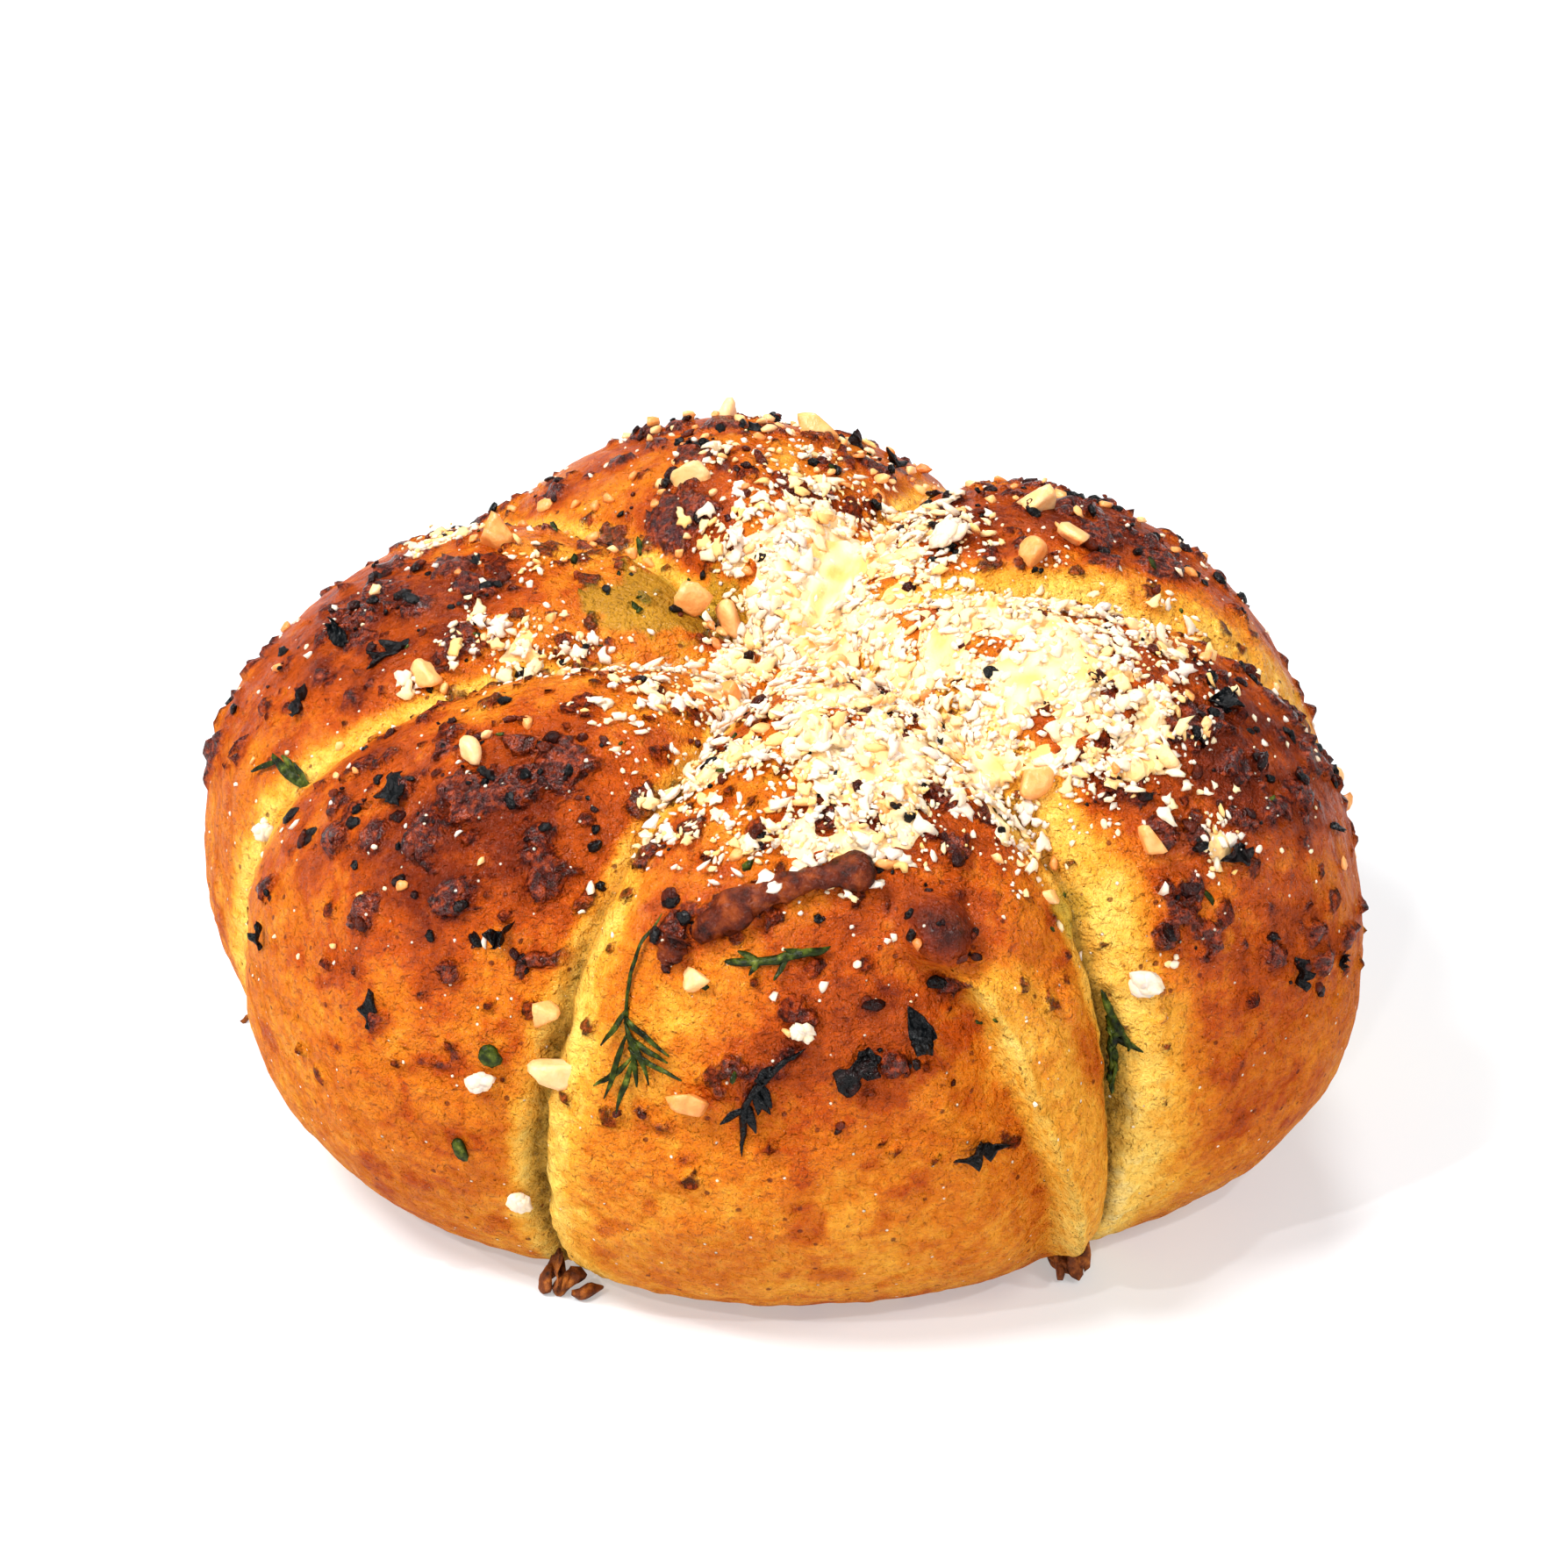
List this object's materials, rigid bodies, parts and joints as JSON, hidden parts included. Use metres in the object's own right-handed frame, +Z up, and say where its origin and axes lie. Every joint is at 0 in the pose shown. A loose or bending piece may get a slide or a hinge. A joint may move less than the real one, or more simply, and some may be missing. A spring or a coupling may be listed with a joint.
{
  "type": "bread roll",
  "caption": "Round lobed bread roll, scored and baked brown, with grated cheese, garlic bits and charred herbs on its buttered crust.",
  "frame": {"origin": "on the axis of the roll at the flat face it rests on", "axes": "+Z up, -Y towards the side the picture was taken from, +X to its right"},
  "size_m": [0.1193, 0.1261, 0.0629],
  "materials": {
    "crust": "satin",
    "cheese": "matte",
    "garlic": "satin",
    "charred_leaf": "satin",
    "green_herb": "satin",
    "fried_onion": "satin",
    "burnt_crumb": "matte"
  },
  "bodies": {
    "root": {"bread_roll": "crust", "grated_cheese": "cheese", "cheese_lump_01": "cheese", "cheese_lump_02": "cheese", "cheese_lump_03": "cheese", "cheese_lump_04": "cheese", "cheese_lump_05": "cheese", "cheese_lump_06": "cheese", "garlic_bit_01": "garlic", "garlic_bit_02": "garlic", "garlic_bit_03": "garlic", "garlic_bit_04": "garlic", "garlic_bit_05": "garlic", "garlic_bit_06": "garlic", "garlic_bit_07": "garlic", "garlic_bit_08": "garlic", "garlic_bit_09": "garlic", "garlic_bit_10": "garlic", "garlic_bit_11": "garlic", "garlic_bit_12": "garlic", "garlic_bit_13": "garlic", "garlic_bit_14": "garlic", "garlic_bit_15": "garlic", "garlic_bit_16": "garlic", "garlic_bit_17": "garlic", "garlic_bit_18": "garlic", "garlic_bit_19": "garlic", "garlic_bit_20": "garlic", "charred_leaf_01": "charred_leaf", "charred_leaf_02": "charred_leaf", "charred_leaf_03": "charred_leaf", "charred_leaf_04": "charred_leaf", "charred_leaf_05": "charred_leaf", "charred_leaf_06": "charred_leaf", "charred_leaf_07": "charred_leaf", "charred_leaf_08": "charred_leaf", "charred_leaf_09": "charred_leaf", "charred_leaf_10": "charred_leaf", "charred_leaf_11": "charred_leaf", "charred_leaf_12": "charred_leaf", "charred_leaf_13": "charred_leaf", "charred_leaf_14": "charred_leaf", "charred_leaf_15": "charred_leaf", "charred_leaf_16": "charred_leaf", "charred_leaf_17": "charred_leaf", "charred_leaf_18": "charred_leaf", "parsley_sprig": "green_herb", "herb_frond": "charred_leaf", "herb_strip": "green_herb", "herb_curl_left": "green_herb", "herb_curl_right": "green_herb", "herb_bit_1": "green_herb", "herb_bit_2": "green_herb", "onion_strip": "fried_onion", "onion_bit": "fried_onion", "crumb_1": "burnt_crumb", "crumb_2": "burnt_crumb", "crumb_3": "burnt_crumb", "fallen_leaf": "burnt_crumb"}
  },
  "joints": []
}
